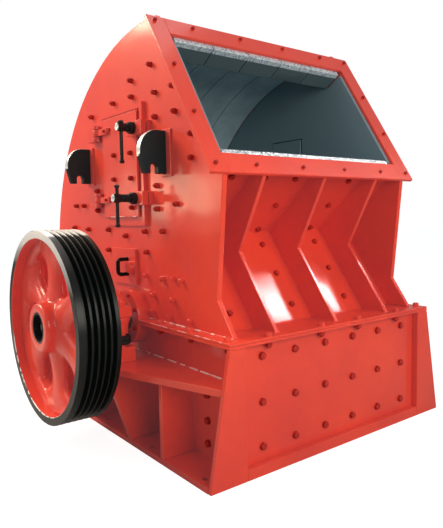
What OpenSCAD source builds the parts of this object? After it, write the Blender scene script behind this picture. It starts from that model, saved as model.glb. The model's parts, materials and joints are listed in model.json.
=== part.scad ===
// Single-rotor hammer crusher: a welded base, a housing with a sloping feed mouth, a rotor in two
// bearings and a grooved belt pulley on its left end. +Z is up, -Y is the feed side, and the origin
// is on the floor, in the middle of the base.

/* [Base] */
// Width over the split flange
flange_w = 1600; // [1500:10:2000]
// Length of the base, front to back
base_l = 2320; // [2250:10:2900]
// Height of the split between base and housing
split_h = 675; // [600:5:900]
// Width over the feet of the end plates
foot_w = 1850; // [1700:10:2200]
// Thickness of the two split flanges, each
flange_t = 15; // [10:1:30]
// Thickness of the base walls
base_wall_t = 25; // [12:1:30]
// Thickness of the end plates beside the front and rear walls
wing_t = 25; // [12:1:30]
// Inner edge of the end plates, from the middle of the machine
wing_in = 700; // [640:5:720]
// Set-back of the front and rear walls behind the end plates
wall_setback = 40; // [30:1:80]
// Thickness of the sole plates
sole_t = 30; // [15:1:50]
// Height of the bars at the foot of the front and rear walls
sole_bar_h = 58; // [40:1:100]

/* [Anchor holes] */
// Diameter of an anchor hole
anchor_d = 38; // [26:1:45]
// Distance of the holes from the middle of the machine
anchor_x = 875; // [820:5:880]
// Front-to-back distance between the corner holes
anchor_span = 2100; // [1900:10:2140]
// Front-to-back distance between the inner holes
anchor_inner_span = 1120; // [1060:10:1200]

/* [Bearing shelf] */
// Height of the top of the shelf
shelf_h = 475; // [420:5:520]
// Thickness of the shelf
shelf_t = 38; // [20:1:60]
// Distance from the edge of the split flange to the middle of a bearing
bearing_out = 140; // [130:5:150]
// Width of a bearing
bearing_w = 145; // [100:5:160]
// Width of the shelf left outside the bearing
shelf_lip = 48; // [20:1:60]
// Reach of the shelf where it meets the end plates
shelf_end_out = 833; // [800:1:860]
// Thickness of the gussets under the shelf
gusset_t = 30; // [15:1:50]

/* [Housing] */
// Width over the side plates
housing_w = 1444; // [1300:2:1500]
// Thickness of the side plates
side_t = 30; // [16:1:40]
// Radius of the round back
roof_r = 1415; // [1380:5:1500]
// Thickness of the rolled back plate
roof_t = 20; // [10:1:30]
// Thickness of the folded front wall
front_t = 20; // [10:1:30]
// Thickness of the ribs on the front wall
rib_t = 25; // [12:1:40]
// Distance between the ribs
rib_pitch = 450; // [350:5:460]
// Thickness of the wear plates inside
liner_t = 30; // [15:1:50]
// Gap between neighbouring wear plates
liner_gap = 6; // [5:1:15]

/* [Feed mouth] */
// Width of the flange round the mouth
mouth_w = 1610; // [1550:5:1700]
// Length of the flange along its slope
mouth_l = 1035; // [1000:5:1080]
// Slope of the mouth from level
mouth_angle = 57.5; // [55:0.5:60]
// Width of the flange at the top and bottom
mouth_edge = 120; // [110:1:140]
// Width of the opening
opening_w = 1384; // [1200:2:1384]
// Thickness of the flange
mouth_t = 20; // [10:1:30]

/* [Rotor] */
// Distance of the shaft behind the front of the base
shaft_back = 1020; // [1000:5:1040]
// Height of the shaft
shaft_h = 690; // [690:1:700]
// Diameter of the shaft in its bearings
shaft_d = 150; // [120:2:180]
// Diameter of the shaft between the side plates
core_d = 220; // [180:5:280]
// Diameter of the rotor discs
disc_d = 800; // [700:10:860]
// Diameter swept by the hammers
swing_d = 1100; // [1000:10:1140]
// Number of discs
disc_count = 7; // [5:1:8]
// Thickness of a disc
disc_t = 45; // [30:1:60]
// Number of hammer pins round the rotor
pin_count = 4; // [3:1:6]
// Diameter of a hammer pin
pin_d = 60; // [40:1:80]
// Width of a hammer head
hammer_w = 110; // [80:5:120]

/* [Pulley] */
// Outside diameter
pulley_d = 1070; // [960:2:1080]
// Width of the rim
pulley_w = 225; // [200:1:240]
// Gap between the shelf and the pulley
pulley_gap = 41; // [15:1:80]
// Number of belt grooves
groove_count = 5; // [3:1:5]
// Distance between grooves
groove_pitch = 34; // [32:1:38]
// Depth of a groove
groove_depth = 28; // [20:1:30]
// Thickness of the rim under the belts
rim_t = 46; // [42:1:56]
// Number of arms
arm_count = 6; // [4:1:6]
// Diameter of the hub
hub_d = 290; // [250:5:320]

/* [Side hatch] */
// Width of the door
door_w = 445; // [400:5:450]
// Height of the door
door_h = 615; // [560:5:625]
// Thickness of the door
door_t = 14; // [10:1:30]
// Clear height of the hole behind the door
hatch_hole_h = 500; // [400:10:520]
// Clear width of the hole behind the door
hatch_hole_w = 330; // [280:10:340]
// Height of the bottom of the door
door_base = 1290; // [1285:1:1310]

/* [Hidden] */

paint = "orangered";
paint_dark = "firebrick";
black = [0.08, 0.09, 0.09];
steel = "silver";
wear_steel = "dimgray";

front = -base_l / 2;
rear = base_l / 2;
shaft_y = front + shaft_back;

// Places of the housing outline, as [distance behind the front, height]
housing_base = split_h + flange_t;
half_w = housing_w / 2;
inner_w = housing_w - 2 * side_t;
bearing_x = flange_w / 2 + bearing_out;
shelf_out = bearing_x + bearing_w / 2 + shelf_lip;
pulley_face = shelf_out + pulley_gap + pulley_w;
toe = [front + 70, housing_base];
knee = [front + 195, housing_base + 175];
mouth_dir = [cos(mouth_angle), sin(mouth_angle)];
mouth_in = [sin(mouth_angle), -cos(mouth_angle)];
mouth_foot = [front + 116, housing_base + 803];
throat = mouth_foot + mouth_t * mouth_in;
roof_y = front + 825;
roof_z = housing_base + 285;
fold = [front + 600, housing_base + 495];
wall_foot = [front + 235, housing_base];
wall_head = throat + 88 * mouth_dir;
rib_knee = [front + 340, housing_base + 400];
rib_toe = [front + 50, housing_base];
rear_wall_in = roof_y + roof_r - roof_t;

// The housing's walls and wear plates
roof_in = 8;
liner_count = 5;
liner_w = inner_w - 2 * 25;
side_liner_t = 25;
lip_h = 28;
lip_seat = 40;
lip_depth = 130;

// Holes for the shaft, and the seal housings on the side plates
wall_hole_r = shaft_d / 2 + 15;
seal_r = 165;
seal_l = 80;

// Shelves and anchors
shelf_run = 260;
gusset_end = 430;
anchor_places = [-anchor_span / 2, -anchor_inner_span / 2, 0, anchor_inner_span / 2, anchor_span / 2];
saddle_l = 300;
ear_w = 110;
sleeve_d = 56;
nut_d = 66;
nut_h = 50;

// Rotor
core_l = liner_w - 20;
rotor_l = 1245;
disc_step = (rotor_l - disc_t) / (disc_count - 1);
pin_circle_r = disc_d / 2 - 80;
pin_l = rotor_l + 40;
hammer_head = 190;

// Pulley
groove_top = 28;
rim_land = 24;
hub_out = 13;
hub_l = pulley_w + hub_out;
arm_in = 77;
arm_t = 60;
arm_w = 140;
pulley_top = shaft_h + pulley_d / 2;

// The hatch, counted from the middle of its door
door_y = front + 1127.5;
door_z = door_base + door_h / 2;
door_edge = door_y - door_w / 2;
frame_t = 14;
frame_margin = 30;
door_gap = 5;
door_x = half_w + frame_t + door_gap;
hinge_x = half_w + 45;
hinge_y = door_y + door_w / 2 + 50;
clamp_y = door_edge - 35;
clamp_z = [door_base + 105, door_base + door_h - 112];
hinge_z = [door_base + 110, door_base + door_h - 75];
clamp_h = 78;
clamp_t = 38;
keeper_y = [door_edge - 120, door_edge - 7];
keeper_t = 28;
frame_sill = 53;
stop_bar = [25, 24];
leaf_h = 90;
leaf_l = 145;
knuckle_h = 40;
pin_eye_r = 26;
hinge_pin_d = 24;
strap_l = 150;
strap_t = 18;
barrel_d = 50;
bar_d = 20;
bar_l = 240;
bar_drop = 202;

// Lifting lugs, and the cover over the slot for the shaft
lug_t = 40;
lug_r = 116;
lug_reach = 108;
lug_foot = 80;
lug_x = half_w + 66;
lug_z = housing_base + 945;
lug_places = [front + 615, front + 1587];
pad_t = 12;
notch_x = 65;
notch_w = 46;
notch_h = 54;
cover_y = [front + 985, front + 1290];
cover_z = [housing_base + 186, housing_base + 406];
cover_t = 20;
handle_y = front + 1080;
handle_l = 92;
handle_d = 20;
handle_out = 70;

// The bearings and the shaft
bearing_r = 175;
foot_l = 480;
foot_h = 85;
stud_dy = 205;
ear_z = [40, 100];
shaft_end = pulley_face + hub_out - 45;
run_gap = 0.05;

module side_profile(points, x, t) {
  translate([x, 0, 0]) rotate([90, 0, 90]) linear_extrude(t) polygon(points);
}

module both_sides() {
  children();
  mirror([1, 0, 0]) children();
}

module both_ends() {
  children();
  mirror([0, 1, 0]) children();
}

module at_shaft(x) {
  translate([x, shaft_y, shaft_h]) rotate([0, 90, 0]) children();
}

module box(low, high) {
  translate(low) cube(high - low);
}

// ---- Base ----

module base_side() {
  difference() {
    box([half_w - base_wall_t, front + wall_setback, 0],
        [half_w, rear - wall_setback, split_h - flange_t]);
    at_shaft(half_w - 2 * base_wall_t) cylinder(r = wall_hole_r, h = 3 * base_wall_t, $fn = 96);
  }
}
module base_sides() { color(paint) both_sides() base_side(); }

module end_wall() {
  w = half_w - base_wall_t;
  box([-w, front + wall_setback, 0], [w, front + wall_setback + base_wall_t, split_h - flange_t]);
}
module base_end_walls() { color(paint) both_ends() end_wall(); }

// A tapered plate at a corner, with a strip behind its inner edge that closes the set-back
module end_plate() {
  top = split_h - flange_t;
  translate([0, front + wing_t, 0]) rotate([90, 0, 0]) linear_extrude(wing_t)
    polygon([[wing_in, 0], [foot_w / 2, 0], [flange_w / 2, top], [wing_in, top]]);
  box([wing_in, front + wing_t, 0], [half_w, front + wall_setback, top]);
}
module end_plates() { color(paint) both_ends() both_sides() end_plate(); }

module sole_plate() {
  difference() {
    box([half_w, front + wing_t, 0], [foot_w / 2, rear - wing_t, sole_t]);
    for (y = anchor_places) translate([anchor_x, y, -1]) cylinder(d = anchor_d, h = sole_t + 2, $fn = 48);
  }
}
module sole_plates() { color(paint_dark) both_sides() sole_plate(); }

module sole_bar() {
  box([-wing_in, front, 0], [wing_in, front + wall_setback, sole_bar_h]);
}
module sole_bars() { color(paint) both_ends() sole_bar(); }

// A flange ring, open over the chamber and cut away round the shaft seals
module split_ring(z) {
  difference() {
    box([-flange_w / 2, front, z], [flange_w / 2, rear, z + flange_t]);
    box([-inner_w / 2, wall_foot[0] + front_t / 2, z - 1],
        [inner_w / 2, rear_wall_in, z + flange_t + 1]);
    both_sides() at_shaft(half_w) cylinder(r = seal_r + 1, h = flange_w, $fn = 96);
    both_sides() at_shaft(inner_w / 2 - 1) cylinder(r = wall_hole_r, h = side_t + 2, $fn = 96);
  }
}
module base_flange() { color(paint) split_ring(split_h - flange_t); }
module housing_flange() { color(paint) split_ring(split_h); }

// ---- Bearing shelves ----

module bearing_shelf() {
  translate([0, 0, shelf_h - shelf_t]) linear_extrude(shelf_t) polygon([
    [half_w, front + wing_t], [shelf_end_out, front + wing_t],
    [shelf_out, shaft_y - shelf_run], [shelf_out, shaft_y + shelf_run],
    [shelf_end_out, rear - wing_t], [half_w, rear - wing_t]]);
}
module bearing_shelf_left() { color(paint) mirror([1, 0, 0]) bearing_shelf(); }
module bearing_shelf_right() { color(paint) bearing_shelf(); }

module shelf_gusset(y, top_out) {
  translate([0, y + gusset_t / 2, 0]) rotate([90, 0, 0]) linear_extrude(gusset_t)
    polygon([[half_w, sole_t], [foot_w / 2, sole_t],
             [top_out, shelf_h - shelf_t], [half_w, shelf_h - shelf_t]]);
}
module shelf_gussets() {
  color(paint_dark) both_sides() {
    for (s = [-1, 1]) shelf_gusset(shaft_y + s * foot_l / 2, shelf_out);
    shelf_gusset(front + gusset_end, foot_w / 2);
    shelf_gusset(rear - gusset_end, foot_w / 2);
  }
}

// ---- Bearings ----

module bearing_base() {
  difference() {
    translate([bearing_x - bearing_w / 2, shaft_y, 0]) {
      translate([0, -foot_l / 2, shelf_h]) cube([bearing_w, foot_l, foot_h]);
      translate([0, -saddle_l / 2, shelf_h]) cube([bearing_w, saddle_l, shaft_h - shelf_h]);
    }
    at_shaft(bearing_x - bearing_w) cylinder(d = shaft_d + 2 * run_gap, h = 2 * bearing_w, $fn = 96);
  }
}
module bearing_base_left() { color(paint) mirror([1, 0, 0]) bearing_base(); }
module bearing_base_right() { color(paint) bearing_base(); }

module bearing_cap() {
  difference() {
    union() {
      intersection() {
        at_shaft(bearing_x - bearing_w / 2) cylinder(r = bearing_r, h = bearing_w, $fn = 96);
        box([0, shaft_y - bearing_r, shaft_h], [2 * bearing_x, shaft_y + bearing_r, shaft_h + bearing_r]);
      }
      box([bearing_x - ear_w / 2, shaft_y - foot_l / 2, shaft_h + ear_z[0]],
          [bearing_x + ear_w / 2, shaft_y + foot_l / 2, shaft_h + ear_z[1]]);
    }
    at_shaft(bearing_x - bearing_w) cylinder(d = shaft_d + 2 * run_gap, h = 2 * bearing_w, $fn = 96);
  }
}
module bearing_cap_left() { color(paint) mirror([1, 0, 0]) bearing_cap(); }
module bearing_cap_right() { color(paint) bearing_cap(); }

// The tie bolts of a bearing: a sleeve between foot and ear, and a domed nut on the ear
module tie_bolt(dy) {
  foot_top = shelf_h + foot_h;
  translate([bearing_x, shaft_y + dy, 0]) {
    translate([0, 0, foot_top]) cylinder(d = sleeve_d, h = shaft_h + ear_z[0] - foot_top, $fn = 48);
    translate([0, 0, foot_top + 6]) cylinder(d = sleeve_d + 22, h = 46, $fn = 48);
    translate([0, 0, shaft_h + ear_z[1]]) cylinder(d = nut_d, h = nut_h - nut_d / 4, $fn = 6);
    translate([0, 0, shaft_h + ear_z[1]]) cylinder(d = nut_d * 0.8, h = nut_h, $fn = 48);
  }
}
module bearing_studs() {
  color(black) both_sides() for (s = [-1, 1]) tie_bolt(s * stud_dy);
}

module shaft_seals() {
  color(paint) both_sides() at_shaft(half_w) difference() {
    cylinder(r = seal_r, h = seal_l, $fn = 96);
    translate([0, 0, -1]) cylinder(d = shaft_d + 10, h = seal_l + 2, $fn = 96);
  }
}

// ---- Housing ----

module housing_outline(inset) {
  intersection() {
    union() {
      translate([roof_y, roof_z]) circle(r = roof_r - inset, $fn = 240);
      translate([roof_y - roof_r, housing_base])
        square([2 * roof_r - inset, roof_z - housing_base]);
    }
    polygon([toe, knee, throat, throat + 1300 * mouth_dir,
             [rear + 300, throat[1] + 1300], [rear + 300, housing_base]]);
  }
}

module side_plate() {
  difference() {
    translate([inner_w / 2, 0, 0]) rotate([90, 0, 90]) linear_extrude(side_t) difference() {
      housing_outline(0);
      hatch_hole_outline();
    }
    at_shaft(0) cylinder(r = wall_hole_r, h = flange_w, $fn = 96);
  }
}
module side_plate_left() { color(paint) mirror([1, 0, 0]) side_plate(); }
module side_plate_right() { color(paint) side_plate(); }

module hatch_hole_outline() {
  translate([door_y - hatch_hole_w / 2, door_z - hatch_hole_h / 2])
    square([hatch_hole_w, hatch_hole_h]);
}

module roof_band(outer, inner) {
  difference() {
    housing_outline(outer);
    housing_outline(inner);
    polygon([toe - [1, 1], knee - [1, 0], throat - [1, 0],
             throat + [0.5, 0], knee + [0.5, 0], toe + [0.5, -1]]);
  }
}
module roof_plate() {
  color(paint) translate([-inner_w / 2, 0, 0]) rotate([90, 0, 90])
    linear_extrude(inner_w) roof_band(roof_in, roof_in + roof_t);
}

function wall_normal(a, b) = let (d = (b - a) / norm(b - a)) [-d[1], d[0]];
upper_normal = -wall_normal(fold, wall_head);
lower_normal = -wall_normal(wall_foot, fold);

// A point at the fold, a given depth behind both faces of the front wall
function fold_point(depth) =
  fold + depth * (upper_normal + lower_normal) / (1 + upper_normal * lower_normal);
function head_point(depth) = wall_head + depth * upper_normal;
function foot_point(depth) = wall_foot + [depth / lower_normal[0], 0];
function past_head(depth) = head_point(depth) + 0.3 * (wall_head - fold);

module front_wall_upper() {
  color(paint) side_profile([wall_head, fold, fold_point(front_t), head_point(front_t)],
                            -inner_w / 2, inner_w);
}
module front_wall_lower() {
  color(paint) side_profile([fold, wall_foot, foot_point(front_t), fold_point(front_t)],
                            -inner_w / 2, inner_w);
}

module front_ribs() {
  color(paint_dark) for (i = [-1:1])
    side_profile([throat, rib_knee, rib_toe, wall_foot, fold, wall_head],
                 i * rib_pitch - rib_t / 2, rib_t);
}

module on_mouth() {
  translate([0, mouth_foot[0], mouth_foot[1]]) rotate([mouth_angle, 0, 0]) children();
}
module feed_flange() {
  color(paint) on_mouth() difference() {
    translate([-mouth_w / 2, 0, -mouth_t]) cube([mouth_w, mouth_l, mouth_t]);
    translate([-opening_w / 2, mouth_edge, -mouth_t - 1])
      cube([opening_w, mouth_l - 2 * mouth_edge, mouth_t + 2]);
  }
}

// ---- Wear plates ----

module across(count, width) {
  step = width / count;
  for (i = [0:count - 1]) translate([-width / 2 + i * step + liner_gap / 2, 0, 0]) children();
}
module roof_liners() {
  step = liner_w / liner_count;
  color(wear_steel) across(liner_count, liner_w) rotate([90, 0, 90])
    linear_extrude(step - liner_gap) difference() {
      roof_band(roof_in + roof_t, roof_in + roof_t + liner_t);
      translate([front, housing_base - 1]) square([base_l, liner_gap + 1]);
      mouth_clearance();
    }
}
// Keeps the liners of the roof clear of those behind the mouth
module mouth_clearance() {
  a = mouth_foot + (mouth_l - mouth_edge - lip_h - liner_gap) * mouth_dir;
  depth = mouth_t + lip_depth + liner_gap;
  polygon([a, a + 400 * mouth_dir, a + 400 * mouth_dir + depth * mouth_in, a + depth * mouth_in]);
}
module front_liners() {
  step = liner_w / liner_count;
  a = front_t;
  b = front_t + liner_t;
  color(wear_steel) across(liner_count, liner_w) {
    side_profile([head_point(a), fold_point(a), fold_point(b), head_point(b)], 0, step - liner_gap);
    side_profile([fold_point(a), foot_point(a), foot_point(b), fold_point(b)], 0, step - liner_gap);
  }
}
module mouth_liners() {
  step = liner_w / liner_count;
  color(steel) on_mouth() across(liner_count, liner_w)
    translate([0, mouth_l - mouth_edge - lip_h, -mouth_t - lip_depth])
      cube([step - liner_gap, lip_h + lip_seat, lip_depth]);
}
module side_liner() {
  wall_depth = front_t + liner_t + liner_gap;
  translate([liner_w / 2, 0, 0]) rotate([90, 0, 90]) linear_extrude(side_liner_t) difference() {
    housing_outline(roof_in + roof_t + liner_t + liner_gap);
    polygon([toe - [300, 1], throat - [300, 0], past_head(wall_depth),
             fold_point(wall_depth), foot_point(wall_depth) - [0, 1]]);
    mouth_clearance();
    hatch_hole_outline();
    translate([shaft_y, shaft_h]) circle(r = core_d / 2 + 10, $fn = 96);
  }
}
module side_liners() { color(wear_steel) both_sides() side_liner(); }

// ---- Side hatch ----

module hatch_frame() {
  low = [door_edge - frame_margin, door_base - frame_sill];
  high = [door_y + door_w / 2 + frame_margin, door_base + door_h + frame_margin];
  translate([half_w, 0, 0]) rotate([90, 0, 90]) linear_extrude(frame_t) difference() {
    translate(low) square(high - low);
    hatch_hole_outline();
  }
  box([half_w, low[0] - stop_bar[0], low[1]], [half_w + stop_bar[1], low[0], high[1] + 12]);
  for (z = clamp_z)
    box([half_w, keeper_y[0], z - clamp_h / 2], [half_w + keeper_t, keeper_y[1], z + clamp_h / 2]);
}
module hatch_frames() { color(paint) both_sides() hatch_frame(); }

// The fixed half of a hinge: a leaf on the wall with two ears, and the pin through them
module hatch_hinge(z) {
  difference() {
    union() {
      box([half_w, hinge_y + 4, z - leaf_h / 2], [hinge_x, hinge_y + leaf_l, z + leaf_h / 2]);
      translate([hinge_x, hinge_y, z - leaf_h / 2]) cylinder(r = pin_eye_r, h = leaf_h, $fn = 48);
    }
    translate([hinge_x, hinge_y, z - knuckle_h / 2 - 5])
      cylinder(r = pin_eye_r + 6, h = knuckle_h + 10, $fn = 48);
  }
  translate([hinge_x, hinge_y, z - leaf_h / 2]) cylinder(d = hinge_pin_d, h = leaf_h, $fn = 48);
}
module hatch_hinges() { color(paint_dark) both_sides() for (z = hinge_z) hatch_hinge(z); }

module hatch_door() {
  difference() {
    union() {
      box([door_x, door_edge, door_base],
          [door_x + door_t, door_y + door_w / 2, door_base + door_h]);
      for (z = hinge_z) {
        box([door_x + door_t, hinge_y - strap_l, z - knuckle_h / 2],
            [door_x + door_t + strap_t, hinge_y, z + knuckle_h / 2]);
        translate([hinge_x, hinge_y, z - knuckle_h / 2]) cylinder(r = pin_eye_r, h = knuckle_h, $fn = 48);
      }
    }
    for (z = hinge_z) translate([hinge_x, hinge_y, z - leaf_h])
      cylinder(d = hinge_pin_d + 2 * run_gap, h = 2 * leaf_h, $fn = 48);
  }
}
module hatch_door_left() { color(paint) mirror([1, 0, 0]) hatch_door(); }
module hatch_door_right() { color(paint) hatch_door(); }

module door_clamps() {
  x = door_x + door_t;
  for (z = clamp_z)
    box([x, keeper_y[0], z - clamp_h / 2], [x + clamp_t, door_edge + 50, z + clamp_h / 2]);
}
module door_clamps_left() { color(paint_dark) mirror([1, 0, 0]) door_clamps(); }
module door_clamps_right() { color(paint_dark) door_clamps(); }

// A clamp screw: barrel, collar against the clamp, and a tommy bar that hangs down through it
module clamp_screw(z, reach, bar_low) {
  x = door_x + door_t + clamp_t;
  translate([x, clamp_y, z]) rotate([0, 90, 0]) {
    cylinder(d = barrel_d, h = reach, $fn = 48);
    cylinder(d = barrel_d + 20, h = 28, $fn = 48);
  }
  translate([x + reach - 28, clamp_y, bar_low]) {
    cylinder(d = bar_d, h = bar_l, $fn = 32);
    for (h = [0, bar_l - 14]) translate([0, 0, h]) cylinder(d = bar_d + 8, h = 14, $fn = 32);
  }
}
module clamp_screws() {
  clamp_screw(clamp_z[0], 142, max(pulley_top + 6, clamp_z[0] - bar_drop));
  clamp_screw(clamp_z[1], 104, clamp_z[1] - bar_drop);
}
module clamp_screws_left() { color(black) mirror([1, 0, 0]) clamp_screws(); }
module clamp_screws_right() { color(black) clamp_screws(); }

// ---- Lifting lugs and shaft covers ----

module lug_plate() {
  translate([0, lug_t, 0]) rotate([90, 0, 0]) linear_extrude(lug_t) difference() {
    hull() {
      translate([lug_x, 0]) scale([lug_reach / lug_r, 1]) circle(r = lug_r, $fn = 96);
      translate([half_w + pad_t, -lug_r]) square([lug_x - half_w - pad_t, 2 * lug_r]);
      translate([half_w + pad_t, -lug_r]) square([lug_x + lug_foot - half_w - pad_t, 20]);
    }
    translate([half_w + pad_t - lug_r, -lug_r - 1]) square([lug_r, 2 * lug_r + 2]);
    translate([half_w + notch_x, -lug_r - 1]) square([notch_w, notch_h - notch_w / 2 + 1]);
    translate([half_w + notch_x + notch_w / 2, -lug_r + notch_h - notch_w / 2])
      circle(d = notch_w, $fn = 48);
  }
}
module lifting_lugs() {
  color(black) both_sides() for (y = lug_places) translate([0, y, lug_z]) lug_plate();
}
module lug_pads() {
  color(paint_dark) both_sides() for (y = lug_places)
    box([half_w, y - 40, lug_z - lug_r - 14], [half_w + pad_t, y + lug_t + 20, lug_z + lug_r + 8]);
}

module shaft_cover() {
  box([half_w, cover_y[0], cover_z[0]], [half_w + cover_t, cover_y[1], cover_z[1]]);
  translate([half_w + cover_t, cover_y[0] + 45, (cover_z[0] + cover_z[1]) / 2])
    rotate([0, 90, 0]) cylinder(d = 70, h = 30, $fn = 48);
}
module shaft_covers() { color(paint) both_sides() shaft_cover(); }

module cover_handle() {
  x = half_w + cover_t;
  mid = (cover_z[0] + cover_z[1]) / 2;
  translate([x, handle_y, mid]) {
    for (s = [-1, 1]) translate([0, 0, s * handle_l / 2]) {
      rotate([0, 90, 0]) cylinder(d = handle_d, h = handle_out, $fn = 32);
      translate([handle_out, 0, 0]) sphere(d = handle_d, $fn = 32);
    }
    translate([handle_out, 0, -handle_l / 2]) cylinder(d = handle_d, h = handle_l, $fn = 32);
  }
}
module cover_handles() { color(black) both_sides() cover_handle(); }

// ---- Rotor ----

module rotor_shaft() {
  color(steel) {
    at_shaft(-shaft_end) cylinder(d = shaft_d, h = shaft_end + bearing_x + bearing_w, $fn = 96);
    at_shaft(-core_l / 2) cylinder(d = core_d, h = core_l, $fn = 96);
  }
}

module around_rotor() {
  for (i = [0:pin_count - 1]) translate([0, shaft_y, shaft_h]) rotate([45 + i * 360 / pin_count, 0, 0])
    children();
}
module rotor_discs() {
  color(wear_steel) difference() {
    for (i = [0:disc_count - 1]) at_shaft(-rotor_l / 2 + i * disc_step)
      cylinder(d = disc_d, h = disc_t, $fn = 120);
    at_shaft(-rotor_l) cylinder(d = core_d, h = 2 * rotor_l, $fn = 96);
    around_rotor() translate([-rotor_l, 0, pin_circle_r]) rotate([0, 90, 0])
      cylinder(d = pin_d, h = 2 * rotor_l, $fn = 48);
  }
}
module hammer_pins() {
  color(steel) around_rotor() translate([-pin_l / 2, 0, pin_circle_r]) rotate([0, 90, 0])
    cylinder(d = pin_d, h = pin_l, $fn = 48);
}

// One hammer, hanging on its pin: an eye, a shank and a wide head
module hammer() {
  head_top = swing_d / 2 - pin_circle_r - 8;
  rotate([90, 0, 90]) linear_extrude(hammer_w) difference() {
    union() {
      circle(r = pin_d * 0.95, $fn = 48);
      translate([-pin_d * 0.75, 0]) square([pin_d * 1.5, head_top]);
      translate([-hammer_head / 2, head_top - hammer_head * 0.55])
        square([hammer_head, hammer_head * 0.55]);
    }
    circle(d = pin_d + 1, $fn = 48);
  }
}
module hammers() {
  first = (-rotor_l + disc_step + disc_t - hammer_w) / 2;
  color(wear_steel) around_rotor() for (i = [0:disc_count - 2])
    translate([first + i * disc_step, 0, pin_circle_r]) hammer();
}

// ---- Pulley ----

// Corners of one belt groove whose outer edge starts at x, walking along the rim
function groove(x) = let (r = pulley_d / 2, slant = groove_depth * tan(18)) [
  [r, x], [r - groove_depth, x + slant],
  [r - groove_depth, x + groove_top - slant], [r, x + groove_top]];
module rim_profile() {
  r = pulley_d / 2;
  belts = groove_pitch * (groove_count - 1) + groove_top;
  first = pulley_w - rim_land - belts;
  polygon(concat(
    [[r - rim_t, 0], [r, 0]],
    [for (i = [0:groove_count - 1]) each groove(first + i * groove_pitch)],
    [[r, pulley_w], [r - rim_t, pulley_w]]));
}
module hub_profile() {
  polygon([[shaft_d / 2, 0], [hub_d / 2 - 15, 0], [hub_d / 2, hub_l / 2 - 40],
           [hub_d / 2, hub_l / 2 + 40], [hub_d / 2 - 15, hub_l], [shaft_d / 2, hub_l]]);
}
module arm() {
  inner = hub_d / 2 - 18;
  outer = pulley_d / 2 - rim_t + 5;
  translate([arm_in, 0, 0]) rotate([90, 0, 90]) linear_extrude(arm_t)
    polygon([[-arm_w / 2, inner], [arm_w / 2, inner], [arm_w * 0.42, outer], [-arm_w * 0.42, outer]]);
}
module at_pulley() {
  translate([-pulley_face, shaft_y, shaft_h]) children();
}
module pulley_rim() {
  color(black) at_pulley() rotate([90, 0, 90]) rotate_extrude($fn = 200) rim_profile();
}
module pulley_arms() {
  color(paint) at_pulley() {
    translate([-hub_out, 0, 0]) rotate([90, 0, 90]) rotate_extrude($fn = 96) hub_profile();
    intersection() {
      for (i = [0:arm_count - 1]) rotate([i * 360 / arm_count, 0, 0]) arm();
      rotate([90, 0, 90]) difference() {
        cylinder(r = pulley_d / 2 - rim_t, h = pulley_w, $fn = 200);
        translate([0, 0, -1]) cylinder(d = shaft_d + 20, h = pulley_w + 2, $fn = 96);
      }
    }
  }
}

base_sides();
base_end_walls();
end_plates();
sole_plates();
sole_bars();
base_flange();
bearing_shelf_left();
bearing_shelf_right();
shelf_gussets();
bearing_base_left();
bearing_base_right();
bearing_cap_left();
bearing_cap_right();
bearing_studs();
shaft_seals();
housing_flange();
side_plate_left();
side_plate_right();
roof_plate();
front_wall_upper();
front_wall_lower();
front_ribs();
feed_flange();
roof_liners();
front_liners();
mouth_liners();
side_liners();
hatch_frames();
hatch_hinges();
hatch_door_left();
hatch_door_right();
door_clamps_left();
door_clamps_right();
clamp_screws_left();
clamp_screws_right();
lifting_lugs();
lug_pads();
shaft_covers();
cover_handles();
rotor_shaft();
rotor_discs();
hammer_pins();
hammers();
pulley_rim();
pulley_arms();
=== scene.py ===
# %% [markdown]
# # Hammer crusher
# A hammer crusher is a welded steel box. Stone falls through the sloping mouth, and swinging hammers on a
# heavy shaft throw it against liner plates until it is small enough to leave below. A V-belt pulley drives
# the shaft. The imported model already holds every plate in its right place, so this lesson is about finish:
# paint, steel, bolts, welds and light.

# %% Load the frame
import json
import math
import random

import bmesh
import bpy
from mathutils import Matrix, Vector

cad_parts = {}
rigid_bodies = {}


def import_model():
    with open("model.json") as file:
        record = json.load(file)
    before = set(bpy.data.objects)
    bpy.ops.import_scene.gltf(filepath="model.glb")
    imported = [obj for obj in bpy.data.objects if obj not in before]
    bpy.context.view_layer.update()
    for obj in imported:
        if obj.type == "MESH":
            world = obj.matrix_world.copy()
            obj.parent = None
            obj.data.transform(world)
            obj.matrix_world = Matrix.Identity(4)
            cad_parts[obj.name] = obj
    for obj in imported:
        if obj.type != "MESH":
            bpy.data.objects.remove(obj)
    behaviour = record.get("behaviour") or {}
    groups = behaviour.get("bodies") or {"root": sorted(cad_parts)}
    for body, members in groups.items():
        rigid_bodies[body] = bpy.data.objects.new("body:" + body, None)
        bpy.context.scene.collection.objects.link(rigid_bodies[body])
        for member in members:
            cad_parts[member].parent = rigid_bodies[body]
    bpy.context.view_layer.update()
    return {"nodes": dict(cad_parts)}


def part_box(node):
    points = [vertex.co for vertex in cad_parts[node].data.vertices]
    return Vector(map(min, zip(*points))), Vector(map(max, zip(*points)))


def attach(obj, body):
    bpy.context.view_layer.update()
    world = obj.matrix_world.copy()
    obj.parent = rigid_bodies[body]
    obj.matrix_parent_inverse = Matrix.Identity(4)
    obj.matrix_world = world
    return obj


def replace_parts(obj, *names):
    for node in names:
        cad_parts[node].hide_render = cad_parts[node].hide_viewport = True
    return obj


for old in list(bpy.data.objects):
    bpy.data.objects.remove(old)
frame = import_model()
nodes = frame["nodes"]

# %% [markdown]
# ## Camera
# The view comes first, because every later choice is judged through it. A camera looks down its own -Z axis,
# so its matrix is built from three directions: right, up and back. The small roll tips the picture by one
# degree. The lens is set for a sensor whose long side is 36 mm. A small helper puts the camera in the scene,
# and later the lamps and the pieces.


# %% Camera
def add_object(name, data):
    thing = bpy.data.objects.new(name, data)
    bpy.context.scene.collection.objects.link(thing)
    return thing


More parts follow.
